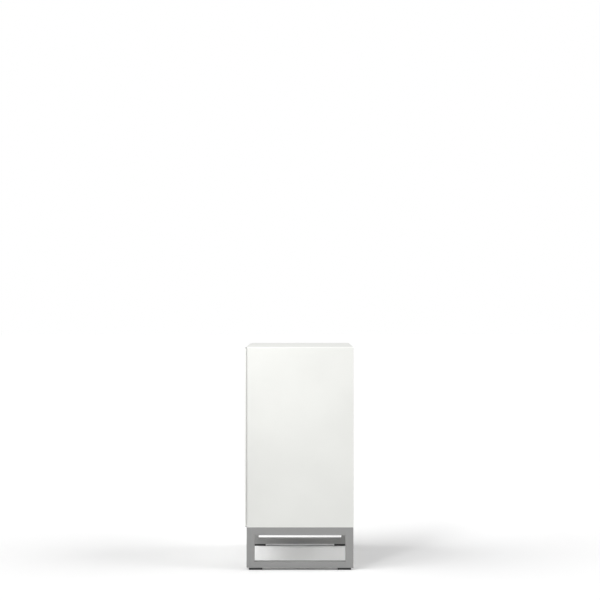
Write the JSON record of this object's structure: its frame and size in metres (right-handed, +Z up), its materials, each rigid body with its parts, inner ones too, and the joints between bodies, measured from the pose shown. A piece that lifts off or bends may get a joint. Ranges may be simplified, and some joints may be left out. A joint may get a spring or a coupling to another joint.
{
  "type": "mini fridge",
  "caption": "Small white free-standing fridge with a hinged flush door, a grey flat-tube sled stand, shelves, door bins, an ice box and a rear compressor.",
  "frame": {"origin": "centre of the footprint on the floor", "axes": "+Z up, -Y to the door, +X to the hinge side"},
  "size_m": [0.45, 0.4154, 0.85],
  "materials": {
    "white_paint": "smooth white powder coat, satin",
    "back_steel": "galvanised steel sheet",
    "stand_paint": "grey powder coat, satin",
    "glide_plastic": "black moulded plastic",
    "white_plastic": "white moulded plastic",
    "clear_plastic": "clear moulded plastic",
    "grip_plastic": "white moulded plastic",
    "foam": "rigid foam",
    "seal_rubber": "soft light grey seal",
    "magnet": "plastic-bonded magnet strip",
    "aluminium": "brushed sheet",
    "shelf_glass": "tempered clear glass",
    "zinc_steel": "zinc plated",
    "black_steel": "black baked enamel",
    "black_plastic": "black moulded plastic",
    "black_rubber": "black rubber",
    "copper": "copper tube",
    "circuit_board": "circuit board"
  },
  "bodies": {
    "cabinet": {"back_panel": "back_steel", "base_panel": "white_paint", "cabinet_foam": "foam", "cabinet_liner": "white_plastic", "compressor": "black_steel", "compressor_bolts": "zinc_steel", "compressor_grommets": "black_rubber", "compressor_plate": "back_steel", "condenser_clips": "black_plastic", "condenser_coil": "black_steel", "condenser_wires": "black_steel", "cross_beam_back": "stand_paint", "cross_beam_front": "stand_paint", "discharge_tube": "copper", "door_surround": "white_plastic", "drain_spout": "black_plastic", "drip_tray": "white_plastic", "evaporation_pan": "black_plastic", "filter_drier": "copper", "flap_ears": "white_plastic", "frame_bolts_and_spacers": "zinc_steel", "glass_shelf_high": "shelf_glass", "glass_shelf_low": "shelf_glass", "glide_screws": "zinc_steel", "glides": "glide_plastic", "hinge_bracket_bottom": "zinc_steel", "hinge_bracket_top": "zinc_steel", "hinge_pins": "zinc_steel", "ice_box": "aluminium", "ice_box_hangers": "white_plastic", "inlet_bracket": "back_steel", "inlet_pins": "zinc_steel", "lamp_lens": "clear_plastic", "led_board": "circuit_board", "machine_housing": "back_steel", "outer_wrapper": "white_paint", "power_inlet": "black_plastic", "relay_cover": "black_plastic", "shelf_trim_high": "white_plastic", "shelf_trim_low": "white_plastic", "stand_loop_left": "stand_paint", "stand_loop_right": "stand_paint", "suction_tube": "copper", "thermostat_housing": "white_plastic", "thermostat_switch": "black_plastic", "wall_ledges": "white_plastic"},
    "door": {"door_panel": "white_paint", "door_liner": "white_plastic", "door_foam": "foam", "grip_cup": "grip_plastic", "door_gasket": "seal_rubber", "gasket_magnets": "magnet", "door_bin_low": "clear_plastic", "door_bin_middle": "clear_plastic", "door_bin_top": "clear_plastic", "hinge_bushes": "white_plastic"},
    "ice_flap": {"ice_box_flap": "white_plastic", "flap_pins": "white_plastic"},
    "knob": {"thermostat_knob": "white_plastic", "thermostat_shaft": "white_plastic"}
  },
  "joints": [
    {"name": "door_hinge", "type": "hinge", "parent": "cabinet", "child": "door", "pos_m": [0.221, -0.20425, 0.5], "axis": [0, 0, 1], "range_deg": [0, 120]},
    {"name": "ice_flap_hinge", "type": "hinge", "parent": "cabinet", "child": "ice_flap", "pos_m": [0, -0.05325, 0.7955], "axis": [-1, 0, 0], "range_deg": [0, 90]},
    {"name": "thermostat_turn", "type": "hinge", "parent": "cabinet", "child": "knob", "pos_m": [0.165, -0.07, 0.6355], "axis": [0, 1, 0], "range_deg": [0, 270]}
  ]
}
